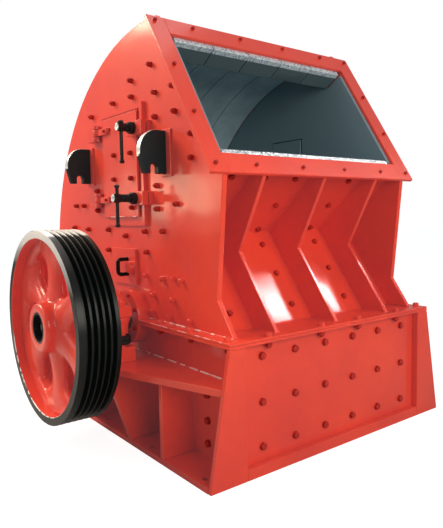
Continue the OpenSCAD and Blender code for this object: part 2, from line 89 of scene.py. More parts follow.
view_turn, view_rise, view_roll = (math.radians(v) for v in (-37.411, 4.845, -1.0285))
back = Vector((math.sin(view_turn) * math.cos(view_rise), -math.cos(view_turn) * math.cos(view_rise),
               math.sin(view_rise)))
right = Vector((math.cos(view_turn), math.sin(view_turn), 0))
up = back.cross(right)
tipped_right = right * math.cos(view_roll) + up * math.sin(view_roll)
tipped_up = up * math.cos(view_roll) - right * math.sin(view_roll)
camera_data = bpy.data.cameras.new("camera")
camera_data.sensor_width = 36
camera_data.lens = 38.06
camera = add_object("camera", camera_data)
camera.matrix_world = Matrix((tipped_right, tipped_up, back)).transposed().to_4x4()
camera.location = (-2.369, -3.159, 1.281)
bpy.context.scene.camera = camera
print("camera at", tuple(round(v, 3) for v in camera.location))

# %% [markdown]
# ## Nodes
# The world, every finish and every repeated part is a tree of nodes, so one helper adds a node to any of
# them. Plain values fill its inputs in their order, where None skips one, and named values fill them by name.
# A value that is another node's output becomes a link. What isn't an input, such as the operation of a Math
# node, is a setting.


# %% Helpers for nodes
def put(owner, kind, *values, settings=None, **named):
    tree = getattr(owner, "node_tree", owner)
    node = tree.nodes.new(kind)
    for label, value in (settings or {}).items():
        setattr(node, label, value)
    filled = list(zip(node.inputs, values))
    for label, value in named.items():
        label = label.replace("_", " ")
        filled.append((next(s for s in node.inputs if s.name == label and s.enabled), value))
    for socket, value in filled:
        if isinstance(value, bpy.types.NodeSocket):
            tree.links.new(value, socket)
        elif value is not None:
            socket.default_value = (*value, 1) if socket.type == "RGBA" else value
    return node


def sums(owner, operation, first, second=0):
    return put(owner, "ShaderNodeMath", first, second, settings={"operation": operation}).outputs[0]


def times(owner, first, second):
    return sums(owner, "MULTIPLY", first, second)


print("node helpers ready")

# %% [markdown]
# ## Floor and background
# The machine stands on a pale floor. The floor is brightened for camera rays only, so it stays nearly white
# and still takes the soft shadow, while the light that it throws back onto the machine is that of plain
# paint. The world does the same: white where it is looked at, and dimmer as a source of light. A little of
# that white also shows in reflections.

# %% World
bpy.context.scene.view_settings.view_transform = "Standard"
world = bpy.data.worlds.new("studio")
world.use_nodes = True
world.node_tree.nodes.clear()
bpy.context.scene.world = world
ray = put(world, "ShaderNodeLightPath").outputs
mirrored_white = times(world, ray["Is Glossy Ray"], 0.05)
seen = sums(world, "MAXIMUM", ray["Is Camera Ray"], mirrored_white)
fill = put(world, "ShaderNodeBackground", (0.84, 0.90, 0.94), 0.38).outputs[0]
white = put(world, "ShaderNodeBackground", (1, 1, 1), 1.0).outputs[0]
sky = put(world, "ShaderNodeMixShader", sums(world, "MAXIMUM", seen, ray["Is Transmission Ray"]), fill, white)
put(world, "ShaderNodeOutputWorld", sky.outputs[0])
print("world ready")

# %% Floor
floor_half = 40
floor_mesh = bpy.data.meshes.new("floor")
floor_mesh.from_pydata([(x * floor_half, y * floor_half, 0) for x, y in ((-1, -1), (1, -1), (1, 1), (-1, 1))],
                       [], [(0, 1, 2, 3)])
floor = add_object("floor", floor_mesh)
floor_paint = bpy.data.materials.new("floor_paint")
floor_paint.use_nodes = True
floor_paint.node_tree.nodes.clear()
pale = put(floor_paint, "ShaderNodeBsdfDiffuse", (0.55, 0.55, 0.55)).outputs[0]
thin = put(floor_paint, "ShaderNodeBsdfDiffuse", (0.28, 0.28, 0.28)).outputs[0]
glow = put(floor_paint, "ShaderNodeEmission", Strength=0.9).outputs[0]
lit = put(floor_paint, "ShaderNodeAddShader", thin, glow).outputs[0]
ray = put(floor_paint, "ShaderNodeLightPath").outputs
paint = put(floor_paint, "ShaderNodeMixShader", ray["Is Camera Ray"], pale, lit)
put(floor_paint, "ShaderNodeOutputMaterial", paint.outputs[0])
floor_mesh.materials.append(floor_paint)
print("floor ready")

# %% [markdown]
# ## Lamps
# Glossy paint shows its lamps, so each soft box is placed for what it reflects in. A bright strip high on the
# right, turned along the slope, is mirrored in the leaning plates under the mouth, and its beam is narrowed
# by spread so that it lights little else. A wide box in front fills the front. On the left, a warm key far
# behind lights the big side plate, a second one beside it gives that plate its broad glow, and a weak one
# evens it out. Two white ones light the top and the back. An area lamp's brightness is its power divided by
# its area and by pi, so the helper takes brightness and works the power out.


# %% Soft boxes
def soft_box(name, place, aim, width, height, brightness, tint=(1, 1, 1)):
    lamp = bpy.data.lights.new(name, "AREA")
    lamp.shape = "RECTANGLE"
    lamp.size, lamp.size_y = width, height
    lamp.energy = brightness * width * height * math.pi
    lamp.color = tint
    box = add_object(name, lamp)
    box.location = place
    box.rotation_euler = (Vector(aim) - Vector(place)).to_track_quat("-Z", "Y").to_euler()
    box.visible_camera = False
    print(name, "power", round(lamp.energy, 1))
    return box


mirror_box = soft_box("mirror_box", (2.64, -2.35, 3.44), (-0.31, -0.88, 0.84), 1.8, 0.5, 0.57)
mirror_box.rotation_euler.rotate_axis("Z", math.radians(-51.5))
mirror_box.data.spread = math.radians(21)
soft_box("front_box", (-0.4, -5.2, 2.5), (0, -1, 1.0), 4.0, 2.4, 4.8, (1.0, 0.93, 0.82))
soft_box("key_box", (-3.6, 3.6, 5.0), (-0.7, -0.4, 1.3), 2.8, 2.2, 17, (1.0, 0.84, 0.62))
soft_box("glow_box", (-3.4, 3.4, 1.6), (-0.7, -0.7, 1.4), 1.2, 0.55, 6.2, (1.0, 0.72, 0.48))
soft_box("side_box", (-4.6, 0.6, 3.2), (-0.7, 0, 1.1), 2.6, 2.6, 1.5, (1.0, 0.95, 0.88))
soft_box("top_box", (0.3, 0.4, 5.2), (0, 0, 1.5), 3.0, 3.0, 1.6)
soft_box("rear_box", (0.6, 3.8, 4.0), (-1.2, -0.2, 1.2), 2.4, 1.6, 3.0)

# %% [markdown]
# ## Finishes
# Every finish is a Principled shader that reads Object coordinates, so the pattern is fixed to the steel and
# has its real size in metres. Small helpers build each one. Numbers that are the same all over are set on
# the shader itself, and only what varies goes through nodes.


# %% Helpers for finishes
def new_finish(name, color, rough, metal=0.0, **more):
    finish = bpy.data.materials.new(name)
    finish.use_nodes = True
    finish.diffuse_color = (*color, 1)
    values = {"Base_Color": (*color, 1), "Roughness": rough, "Metallic": metal, **more}
    for socket, value in values.items():
        finish.node_tree.nodes["Principled BSDF"].inputs[socket.replace("_", " ")].default_value = value
    return finish


def lead(finish, socket, value):
    """Link a value to an input of the finish's shader."""
    finish.node_tree.links.new(value, finish.node_tree.nodes["Principled BSDF"].inputs[socket])


def parts_of(finish, coordinates="Object"):
    where = put(finish, "ShaderNodeTexCoord").outputs[coordinates]
    return put(finish, "ShaderNodeSeparateXYZ", where).outputs


def noise(finish, size, detail=2.0, stretch=(1, 1, 1), rough=0.5):
    where = put(finish, "ShaderNodeTexCoord").outputs["Object"]
    where = put(finish, "ShaderNodeMapping", where, Scale=stretch).outputs[0]
    pattern = put(finish, "ShaderNodeTexNoise", where, Scale=1 / size, Detail=detail, Roughness=rough)
    return pattern.outputs["Fac"]


def pattern_of(finish, value):
    """A pair (size, detail) stands for a noise."""
    return noise(finish, *value) if isinstance(value, tuple) else value


def ramp(finish, value, *stops):
    node = put(finish, "ShaderNodeValToRGB", pattern_of(finish, value))
    bar = node.color_ramp
    while len(bar.elements) < len(stops):
        bar.elements.new(0.5)
    for element, (at, shade) in zip(bar.elements, stops):
        element.position = at
        element.color = (*shade, 1) if isinstance(shade, tuple) else (shade, shade, shade, 1)
    return node.outputs["Color"]


def vary(finish, socket, value, *stops):
    lead(finish, socket, ramp(finish, value, *stops))


def blend_colors(finish, amount, first, second):
    skipped = [None] * 5
    mix = put(finish, "ShaderNodeMix", amount, *skipped, first, second, settings={"data_type": "RGBA"})
    return mix.outputs[2]


def relief(finish, *layers, coat=False):
    """Bumps on top of each other, each as (pattern, depth, strength)."""
    normal = None
    for height, depth, strength in layers:
        bump = put(finish, "ShaderNodeBump", Strength=strength, Distance=depth,
                   Height=pattern_of(finish, height), Normal=normal)
        normal = bump.outputs["Normal"]
    lead(finish, "Normal", normal)
    if coat:
        lead(finish, "Coat Normal", normal)


print("finish helpers ready")

# %% [markdown]
# ### Red enamel
# Machine enamel is a deep red under a clear glossy skin. The pigment is the base colour and the skin is the
# shader's coat. Two reds are mixed by a slow noise, because sprayed paint is never even. Two bumps sit under
# the gloss: a fine one like orange peel, and a broad one for plates that welding has pulled slightly wavy.
# A red this strong has almost no green or blue to give back, and in the shade it would go flat and orange on
# a screen. So the paint is given a very faint cool glow, painted light that turns its shade crimson.

# %% Red enamel
deep_red, bright_red = (0.70, 0.038, 0.014), (0.82, 0.052, 0.014)


def red_enamel(name):
    # The emission is painted light: a faint cool glow that makes the shade of the red read crimson.
    finish = new_finish(name, bright_red, 0.42, Coat_Weight=0.62, Coat_Roughness=0.14, Specular_IOR_Level=0.1,
                        Emission_Color=(0, 0.42, 0.52, 1), Emission_Strength=0.035)
    fine = noise(finish, 0.05, 4, rough=0.6)
    tone = sums(finish, "ADD", times(finish, noise(finish, 0.55, 3), 0.75), times(finish, fine, 0.25))
    vary(finish, "Base Color", tone, (0.36, deep_red), (0.62, bright_red))
    vary(finish, "Roughness", fine, (0.3, 0.34), (0.7, 0.5))
    relief(finish, ((0.28, 1), 0.03, 0.14), ((0.011, 2), 0.0004, 0.25), coat=True)
    return finish


def cover(finish, amount, color):
    """Lay a colour over the red, where amount is 1."""
    red = finish.node_tree.nodes["Principled BSDF"].inputs["Base Color"].links[0].from_socket
    lead(finish, "Base Color", blend_colors(finish, amount, red, color))


red_paint = red_enamel("red_paint")
# Bolts get a darker red that stands in for the shade round each head: painted shade.
bolt_paint = new_finish("bolt_paint", (0.42, 0.018, 0.010), 0.5, Specular_IOR_Level=0.12)
vary(bolt_paint, "Base Color", (0.02, 3), (0.35, (0.32, 0.022, 0.018)),
     (0.65, (0.54, 0.034, 0.026)))
relief(bolt_paint, ((0.006, 2), 0.0006, 0.4))
print("red paint ready")

# %% [markdown]
# The roof, the side plates and the doors are one thickness of steel, red outside and bare inside. Their
# finish asks how far inside a point lies, and turns to dark steel there: within the roof's radius, or within
# the hole behind a hatch door.

# %% Red plates with a bare inside
roof_mid, roof_lining = Vector((0, -0.335, 0.975)), 1.392
hatch_halves = ((0.0, 0.7415), (-0.0325, 0.166), (1.5975, 0.251))


def within_roof(finish, x, y, z):
    y, z = sums(finish, "SUBTRACT", y, roof_mid.y), sums(finish, "SUBTRACT", z, roof_mid.z)
    reach = sums(finish, "SQRT", sums(finish, "ADD", times(finish, y, y), times(finish, z, z)))
    return sums(finish, "LESS_THAN", reach, roof_lining)


def within_hatch(finish, *place):
    inside = 1.0
    for value, (middle, half) in zip(place, hatch_halves):
        off = sums(finish, "ABSOLUTE", sums(finish, "SUBTRACT", value, middle))
        inside = times(finish, inside, sums(finish, "LESS_THAN", off, half))
    return inside


roof_paint, hatch_paint = red_enamel("roof_paint"), red_enamel("hatch_paint")
for finish, inside in ((roof_paint, within_roof), (hatch_paint, within_hatch)):
    cover(finish, inside(finish, *parts_of(finish)), (0.03, 0.036, 0.038))
print("lined finishes ready")

# %% [markdown]
# ### Black parts
# The lugs, grips and clamp screws are black. Gloss black is almost only reflection, so its base is very dark
# and its specular level is low enough that the white room doesn't grey it. The screws are oiled black steel,
# rougher, with a little bare metal showing through. The upper edge of each lug is bright bare steel, kept to
# where the light falls, a painted highlight, and the lower edge is painted nearly black, a painted shade: the
# lug finish finds the edge by its direction and the upper part by its height.

# %% Black finishes
black_paint = new_finish("black_paint", (0.0035, 0.006, 0.006), 0.2, Specular_IOR_Level=0.16)
vary(black_paint, "Roughness", (0.03, 3), (0.3, 0.16), (0.7, 0.34))
relief(black_paint, ((0.06, 2), 0.003, 0.15), ((0.008, 2), 0.0004, 0.3))
black_steel = new_finish("black_steel", (0.012, 0.013, 0.014), 0.36, Specular_IOR_Level=0.25)
vary(black_steel, "Base Color", (0.012, 4), (0.62, (0.010, 0.011, 0.012)),
     (0.74, (0.09, 0.09, 0.095)))
relief(black_steel, ((0.004, 2), 0.0004, 0.3))
rubber = new_finish("rubber", (0.018, 0.018, 0.02), 0.75, Specular_IOR_Level=0.2)
relief(rubber, ((0.003, 2), 0.0003, 0.4))
print("black finishes ready")

# %% Lug finish
lug_black, highlight_above = (0.010, 0.030, 0.033), 1.645
lug_finish = new_finish("lug_paint", lug_black, 0.34, Specular_IOR_Level=0.2)
rim = sums(lug_finish, "LESS_THAN", sums(lug_finish, "ABSOLUTE", parts_of(lug_finish, "Normal")["Y"]), 0.5)
high = sums(lug_finish, "ADD", parts_of(lug_finish)["Z"], times(lug_finish, noise(lug_finish, 0.03, 2), 0.06))
# Bright steel on the upper rim is a painted highlight, and the near-black lower rim is painted shade.
painted_rim_highlight = times(lug_finish, rim, sums(lug_finish, "GREATER_THAN", high, highlight_above))
rim_highlight_and_shade = blend_colors(lug_finish, painted_rim_highlight, (0.004, 0.006, 0.006), (0.72, 0.73, 0.72))
lead(lug_finish, "Base Color", blend_colors(lug_finish, rim, lug_black, rim_highlight_and_shade))
lead(lug_finish, "Metallic", times(lug_finish, painted_rim_highlight, 0.85))
relief(lug_finish, ((0.06, 2), 0.003, 0.15))
print("lug finish ready")

# %% [markdown]
# ### Bare steel
# Cast liner plates are dark and rough, with lighter rubbed patches. The plates at the sides are painted
# darker,
# a painted shade: the wear finish turns darker where the distance from the middle passes the inner face of
# the side plates. The loose bars at the edge of the mouth are ground bright, so they sparkle: their roughness
# changes from grain to grain.

# %% Steel finishes
side_liner_x = 0.663
wear_steel = new_finish("wear_steel", (0.36, 0.48, 0.53), 0.5, 0.2, Specular_IOR_Level=0.3)
patches = noise(wear_steel, 0.22, 5, rough=0.6)
beaten = ramp(wear_steel, patches, (0.3, (0.38, 0.52, 0.57)), (0.55, (0.50, 0.67, 0.74)),
              (0.8, (0.60, 0.76, 0.82)))
off_middle = sums(wear_steel, "ABSOLUTE", parts_of(wear_steel)["X"])
# Beyond the inner face of the side plates the steel is painted darker: painted shade.
painted_side_shade = sums(wear_steel, "GREATER_THAN", off_middle, side_liner_x)
lead(wear_steel, "Base Color", blend_colors(wear_steel, painted_side_shade, beaten, (0.21, 0.30, 0.34)))
vary(wear_steel, "Roughness", patches, (0.3, 0.62), (0.75, 0.4))
relief(wear_steel, ((0.02, 4), 0.002, 0.35))
bright_steel = new_finish("bright_steel", (0.74, 0.76, 0.78), 0.3, 1.0)
grain = noise(bright_steel, 0.006, 2)
vary(bright_steel, "Roughness", grain, (0.35, 0.16), (0.65, 0.55))
vary(bright_steel, "Base Color", (0.012, 3), (0.35, (0.30, 0.32, 0.34)),
     (0.6, (0.86, 0.88, 0.9)))
relief(bright_steel, (grain, 0.003, 0.8))
zinc = new_finish("zinc", (0.66, 0.67, 0.64), 0.34, 0.9)
relief(zinc, ((0.008, 2), 0.0005, 0.3))
machined_steel = new_finish("machined_steel", (0.52, 0.53, 0.54), 0.26, 1.0)
vary(machined_steel, "Roughness", (0.05, 3), (0.35, 0.2), (0.7, 0.42))
relief(machined_steel, (noise(machined_steel, 0.003, 2, (1, 0.05, 0.05)), 0.0004, 0.3))
print("steel finishes ready")

# %% [markdown]
# The bars under the mouth's upper edge are ground bright near the edge, where the stone rubs them, and are
# painted dark further in, a painted shade inside the mouth. Their finish measures how far a point lies along
# the way the mouth faces, as a dot product, and compares it with the plane of the mouth.

# %% Upper lip of the mouth
mouth_edge = Vector((0, -1.044, 1.493))
mouth_way, mouth_out = Vector((0, 0.5373, 0.8434)), Vector((0, -0.8434, 0.5373))
rubbed_depth = 0.052
lip_steel = new_finish("lip_steel", (0.74, 0.78, 0.82), 0.42, 0.35)
place = put(lip_steel, "ShaderNodeTexCoord").outputs["Object"]
reach = put(lip_steel, "ShaderNodeVectorMath", place, mouth_out, settings={"operation": "DOT_PRODUCT"})
# Deeper than the rubbed band the steel is painted dark: painted shade.
deep = sums(lip_steel, "LESS_THAN", reach.outputs["Value"], mouth_edge.dot(mouth_out) - rubbed_depth)
speckle = ramp(lip_steel, (0.012, 3), (0.35, (0.34, 0.43, 0.50)), (0.6, (0.80, 0.91, 0.98)))
lead(lip_steel, "Base Color", blend_colors(lip_steel, deep, speckle, (0.11, 0.165, 0.185)))
relief(lip_steel, ((0.006, 2), 0.002, 0.5))
print("lip finish ready")

# %% Give each plate its finish
finish_of = dict(red_paint=red_paint, black_paint=black_paint, black_steel=black_steel, wear_steel=wear_steel,
                 bright_steel=bright_steel, machined_steel=machined_steel, pulley_rim=black_paint)
own_finish = dict(lifting_lugs=lug_finish, mouth_liners=lip_steel, roof_plate=roof_paint)
for name in ("side_plate_left", "side_plate_right", "hatch_frames", "hatch_door_left", "hatch_door_right"):
    own_finish[name] = hatch_paint
for name, node in nodes.items():
    slots = [s.name.split(".")[0] if s else "red_paint" for s in node.data.materials]
    node.data.materials.clear()
    for slot in slots or ["red_paint"]:
        node.data.materials.append(own_finish.get(name) or finish_of.get(slot, red_paint))
print("finishes given to", len(nodes), "nodes")

# %% [markdown]
# ## Soft edges
# No real plate has a razor edge: a flame-cut edge is ground, and paint pulls round it. That small radius is
# what catches the light as a thin bright line. A Bevel modifier makes it on every plate. It needs a clean
# mesh, so a Weld modifier joins the loose triangles and a planar Decimate turns them back into whole faces
# first.

# %% Bevel the plates
merge_within = 0.00002
plates = {
    0.004: """side_plate_left side_plate_right front_ribs feed_flange base_flange housing_flange
              bearing_shelf_left bearing_shelf_right shelf_gussets end_plates base_sides base_end_walls
              sole_bars sole_plates front_wall_lower front_wall_upper roof_plate""".split(),
    0.003: """door_clamps_left door_clamps_right lug_pads hatch_door_left hatch_door_right shaft_covers
              lifting_lugs bearing_base_left bearing_base_right bearing_cap_left bearing_cap_right
              mouth_liners front_liners shaft_seals""".split(),
}


def bevel(piece, width, angle=30):
    edge = piece.modifiers.new("edge", "BEVEL")
    edge.width = width
    edge.segments = 2
    edge.limit_method = "ANGLE"
    edge.angle_limit = math.radians(angle)


def soften(node, width):
    weld = node.modifiers.new("weld", "WELD")
    weld.merge_threshold = merge_within
    flat = node.modifiers.new("flat", "DECIMATE")
    flat.decimate_type = "DISSOLVE"
    flat.angle_limit = math.radians(0.5)
    bevel(node, width, 35)


for width, names in plates.items():
    for name in names:
        soften(nodes[name], width)
print("bevelled", sum(len(v) for v in plates.values()), "nodes")

# %% [markdown]
# ## Bolts
# Liner plates, frames and flanges are held by hundreds of hexagon bolts. Placing each by hand would be slow
# and a copy of a detailed mesh would be heavy, so one Geometry Nodes tree makes them all. It takes a cloud of
# points. Every point carries a direction, the way the bolt faces, and the tree puts a low-cost bolt on each:
# a washer, a six-sided head, a chamfered crown and the end of the thread, turned by a seeded random angle as
# a spanner leaves it. The sizes are named inputs, so M24 housing bolts and small door bolts share the tree.


# %% Helpers for node trees
def new_tree(name, **inputs):
    tree = bpy.data.node_groups.new(name, "GeometryNodeTree")
    for label, kind in inputs.items():
        label = label.replace("_", " ")
        tree.interface.new_socket(name=label, in_out="INPUT", socket_type="NodeSocket" + kind)
    tree.interface.new_socket(name="Geometry", in_out="OUTPUT", socket_type="NodeSocketGeometry")
    return tree, tree.nodes.new("NodeGroupInput").outputs


def close_tree(tree, shape, finish):
    real = put(tree, "GeometryNodeRealizeInstances", Geometry=shape).outputs[0]
    painted = put(tree, "GeometryNodeSetMaterial", Geometry=real, Material=finish).outputs[0]
    put(tree, "NodeGroupOutput", painted)
    print(tree.name, "tree has", len(tree.nodes), "nodes")


def settle(piece):
    """Make what the modifiers show the piece's own mesh."""
    made = bpy.data.meshes.new_from_object(piece.evaluated_get(bpy.context.evaluated_depsgraph_get()))
    piece.modifiers.clear()
    piece.data = made


def hand_over(piece, body):
    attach(piece, body)
    print(piece.name, len(piece.data.polygons), "faces")
    return piece


def grow(name, mesh, tree, body, slot, **values):
    piece = add_object(name, mesh)
    maker = piece.modifiers.new("maker", "NODES")
    maker.node_group = tree
    for socket in tree.interface.items_tree:
        label = socket.name.replace(" ", "_")
        if socket.in_out == "INPUT" and label in values:
            maker[socket.identifier] = values[label]
    settle(piece)
    return hand_over(piece, body)


# %% Bolt tree
bolt_tree, given = new_tree("hex_bolts", Geometry="Geometry", Across_Flats="Float", Head_Height="Float",
                            Washer_Width="Float", Washer_Height="Float", Thread="Float", Seed="Int",
                            Finish="Material")


def share(label, factor):
    return times(bolt_tree, given[label], factor)


def cylinder(sides, radius, depth):
    shape = put(bolt_tree, "GeometryNodeMeshCylinder", Vertices=sides, Radius=radius, Depth=depth)
    return shape.outputs["Mesh"]


head_top = sums(bolt_tree, "ADD", given["Head Height"], given["Washer Height"])
crown = put(bolt_tree, "GeometryNodeMeshCone", Vertices=12, Depth=0.0022,
            Radius_Top=share("Across Flats", 0.40), Radius_Bottom=share("Across Flats", 0.49))
bolt = put(bolt_tree, "GeometryNodeJoinGeometry")
for shape, height in (
        (cylinder(14, share("Washer Width", 0.5), given["Washer Height"]), share("Washer Height", 0.5)),
        (cylinder(6, share("Across Flats", 1 / math.sqrt(3)), given["Head Height"]),
         sums(bolt_tree, "ADD", share("Head Height", 0.5), given["Washer Height"])),
        (crown.outputs["Mesh"], head_top),
        (cylinder(10, share("Across Flats", 0.3), given["Thread"]), head_top)):
    place = put(bolt_tree, "ShaderNodeCombineXYZ", Z=height).outputs[0]
    lifted = put(bolt_tree, "GeometryNodeTransform", Geometry=shape, Translation=place).outputs[0]
    bolt_tree.links.new(lifted, bolt.inputs[0])
facing = put(bolt_tree, "GeometryNodeInputNamedAttribute", settings={"data_type": "FLOAT_VECTOR"},
             Name="facing")
aligned = put(bolt_tree, "FunctionNodeAlignRotationToVector", settings={"axis": "Z"},
              Vector=facing.outputs["Attribute"])
spread = put(bolt_tree, "GeometryNodeInstanceOnPoints", Points=given["Geometry"], Instance=bolt.outputs[0],
             Rotation=aligned.outputs[0])
turn = put(bolt_tree, "FunctionNodeRandomValue", settings={"data_type": "FLOAT"}, Max=math.pi / 3,
           Seed=given["Seed"])
turned_by = put(bolt_tree, "ShaderNodeCombineXYZ", Z=next(s for s in turn.outputs if s.enabled))
spun = put(bolt_tree, "GeometryNodeRotateInstances", Instances=spread.outputs[0],
           Rotation=turned_by.outputs[0])
close_tree(bolt_tree, spun.outputs[0], given["Finish"])

# %% Helper that bolts a list of places
washer_thick = 0.004


def bolts(name, places, body="frame", across=0.034, head=0.011, washer=0.040, thread=0.002, finish=bolt_paint,
          seed=1):
    """Put a bolt at each (place, way). Half of the thread's length is inside the head."""
    cloud = bpy.data.meshes.new(name)
    cloud.from_pydata([place for place, _ in places], [], [])
    directions = cloud.attributes.new("facing", "FLOAT_VECTOR", "POINT")
    for item, (_, way) in zip(directions.data, places):
        item.vector = way
    return grow(name, cloud, bolt_tree, body, "red_paint", Across_Flats=across, Head_Height=head,
                Washer_Width=washer, Washer_Height=washer_thick, Thread=thread * 2, Seed=seed, Finish=finish)


def both_sides(groups):
    """Add the mirror image of each group: a bolt's place and way, or a weld's points."""
    return groups + [[(-x, y, z) for x, y, z in group] for group in groups]


# %% [markdown]
# ### Housing bolts
# On the side plates the bolts hold the liner plates inside, so they run in uneven rows that follow the
# liners. The places are listed as (distance along Y, height), and the far side mirrors the near one. The
# leaning front plates carry two columns of bolts in each bay between the ribs.

# %% Side plate bolts
side_x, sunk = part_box("side_plate_right")[1].x, 0.0005
high_places = [
    (-0.391, 2.134), (-0.166, 2.090), (-0.617, 1.975), (-0.433, 1.974), (-0.169, 1.995), (0.068, 1.997),
    (-0.631, 1.841), (-0.431, 1.841), (-0.781, 1.706), (-0.777, 1.585), (-0.434, 1.461), (0.334, 1.466),
    (-0.630, 1.353), (-0.431, 1.331), (0.687, 1.377), (0.557, 1.374), (0.337, 1.336), (0.498, 1.210),
    (0.732, 1.221), (0.188, 1.209), (-0.047, 1.173), (-0.286, 1.203), (-0.485, 1.205), (0.195, 1.079),
    (-0.298, 1.082), (0.607, 1.640), (0.387, 1.960)]
low_places = [
    (-0.283, 0.943), (-0.465, 0.938), (-0.583, 0.947), (-0.660, 0.941), (-0.360, 0.836), (-0.568, 0.829),
    (-0.355, 0.741), (-0.530, 0.731), (-0.735, 0.732), (0.507, 0.980), (0.287, 0.860), (0.547, 0.780),
    (0.847, 0.780)]
# The upper rows take the darker red, which is painted shade; the lower rows take the plain red.
for name, finish, rows in (("side_bolts_high", bolt_paint, high_places),
                           ("side_bolts_low", red_paint, low_places)):
    bolts(name, both_sides([((side_x - sunk, y, z), (1, 0, 0)) for y, z in rows]), across=0.027, head=0.020,
          washer=0.031, thread=0.009, finish=finish, seed=3)

# %% Front wall bolts
columns = (-0.570, -0.342, -0.114, 0.114, 0.342, 0.570)
foot, fold, brow = Vector((0, -0.925, 0.690)), Vector((0, -0.560, 1.185)), Vector((0, -0.980, 1.5565))
slopes = ((foot, fold, Vector((0, -0.8049, 0.5935)), (0.770, 0.940, 1.105)),
          (fold, brow, Vector((0, -0.6626, -0.7490)), (1.205, 1.346, 1.488)))
wall_places = []
for x in columns:
    for low, high, way, heights in slopes:
        for z in heights:
            t = (z - low.z) / (high.z - low.z)
            wall_places.append((low.lerp(high, t) + Vector((x, 0, 0)), way))
bolts("front_wall_bolts", wall_places, across=0.030, washer=0.036, seed=5)


# %% Mouth flange bolts
def on_mouth(x, s, depth=0):
    """A point of the mouth's plane, s up its slope, or that far behind the plane."""
    return mouth_edge + Vector((x, 0, 0)) + mouth_way * s - mouth_out * depth


mouth_places = [(x, 0.995) for x in (-0.762, -0.517, -0.172, 0.172, 0.517, 0.762)]
mouth_places += [(x, 0.050) for x in (-0.757, -0.500, -0.168, 0.168, 0.500, 0.757)]
mouth_places += [(x, s) for x in (-0.757, 0.757) for s in (0.366, 0.679)]
bolts("mouth_flange_bolts", [(on_mouth(x, s), mouth_out) for x, s in mouth_places],
      across=0.018, head=0.010, washer=0.021, seed=7)

# %% Base panel bolts
base_places = [((x, y, z), (0, math.copysign(1, y), 0)) for x in columns for z in (0.131, 0.360, 0.593)
               for y in (-1.120, 1.120)]
bolts("base_panel_bolts", base_places, seed=9)
base_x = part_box("base_sides")[1].x
bolts("base_side_bolts", both_sides([((base_x, y, z), (1, 0, 0)) for y in (-0.870, -0.555, 0.415, 0.900)
                                     for z in (0.107, 0.228, 0.365)]), seed=11)

# %% Split flange bolts
under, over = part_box("base_flange")[0].z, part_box("housing_flange")[1].z
rim_side = [(0.766, y) for y in (-1.100, -0.790, -0.490, 0.200, 0.490, 0.790, 1.100)]
rim_ends = [(x, y) for x in (-0.540, -0.160, 0.143, 0.499) for y in (-1.141, 1.141)]
rim_all = rim_side + [(-x, y) for x, y in rim_side] + rim_ends
bolts("split_flange_nuts", [((x, y, under), (0, 0, -1)) for x, y in rim_all], across=0.032, head=0.018,
      washer=0.036, thread=0.008, seed=13)
bolts("split_flange_heads", [((x, y, over), (0, 0, 1)) for x, y in rim_all], across=0.032, head=0.014,
      washer=0.036, finish=red_paint, seed=15)

# %% [markdown]
# ## Weld beads
# The plates meet in fillet welds. A bead is a slightly rippled rope of metal laid in the corner, so it is
# made as one: a line along the corner becomes a curve, the curve is resampled at a fixed step, and Curve to
# Mesh sweeps a small circle along it, scaled by a fixed noise. Half the rope sinks into the plates and the
# other half shows as the fillet. The beads on the ledge and the edge of the ledge have a finish of their own:
# the same red with pale patches painted on, painted highlights where light glints along them.

# %% Weld tree
weld_step, rope_sides, ripples_per_metre = 0.007, 7, 90.0
weld_tree, given = new_tree("weld_bead", Geometry="Geometry", Bead_Width="Float", Step="Float",
                            Ripple="Float", Finish="Material")
lines = put(weld_tree, "GeometryNodeMeshToCurve", Mesh=given["Geometry"]).outputs[0]
even = put(weld_tree, "GeometryNodeResampleCurve", settings={"mode": "LENGTH"}, Curve=lines,
           Length=given["Step"])
where = put(weld_tree, "GeometryNodeInputPosition").outputs[0]
waves = put(weld_tree, "ShaderNodeTexNoise", Vector=where, Scale=ripples_per_metre, Detail=0.0).outputs["Fac"]
ripple = times(weld_tree, sums(weld_tree, "SUBTRACT", waves, 0.5), given["Ripple"])
circle = put(weld_tree, "GeometryNodeCurvePrimitiveCircle", Resolution=rope_sides,
             Radius=times(weld_tree, given["Bead Width"], 0.5)).outputs[0]
sweep = put(weld_tree, "GeometryNodeCurveToMesh", Curve=even.outputs[0], Profile_Curve=circle,
            Scale=sums(weld_tree, "ADD", 1.0, ripple), Fill_Caps=True).outputs[0]
smooth = put(weld_tree, "GeometryNodeSetShadeSmooth", Geometry=sweep).outputs[0]
close_tree(weld_tree, smooth, given["Finish"])


# %% Helper that welds a list of lines
def welds(name, lines, body="frame", width=0.012, finish=red_paint, slot="red_paint", ripple=0.55):
    points, edges = [], []
    for line in lines:
        edges += [(len(points) + i, len(points) + i + 1) for i in range(len(line) - 1)]
        points += [tuple(p) for p in line]
    seams = bpy.data.meshes.new(name)
    seams.from_pydata(points, edges, [])
    return grow(name, seams, weld_tree, body, slot, Bead_Width=width, Step=weld_step, Ripple=ripple,
                Finish=finish)


# %% Front wall welds
wall_inner, rib_at, rib_half = 0.692, (-0.450, 0.0, 0.450), 0.0125
rib_faces = [x + side for x in rib_at for side in (-rib_half, rib_half)]
rib_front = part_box("front_ribs")[0].y + 0.004


def down_the_wall(x):
    return [(x, corner.y, corner.z) for corner in (foot, fold, brow)]


seam_lines = []
for x in rib_faces:
    seam_lines += [down_the_wall(x), [(x, rib_front, over), (x, foot.y, over)]]
seam_lines += [down_the_wall(x) for x in (-wall_inner, wall_inner)]
bay_ends = [-wall_inner, *rib_faces, wall_inner]
for bay in zip(bay_ends[::2], bay_ends[1::2]):
    seam_lines += [[(x, corner.y, corner.z) for x in bay] for corner in (foot, fold)]
welds("front_wall_welds", seam_lines)

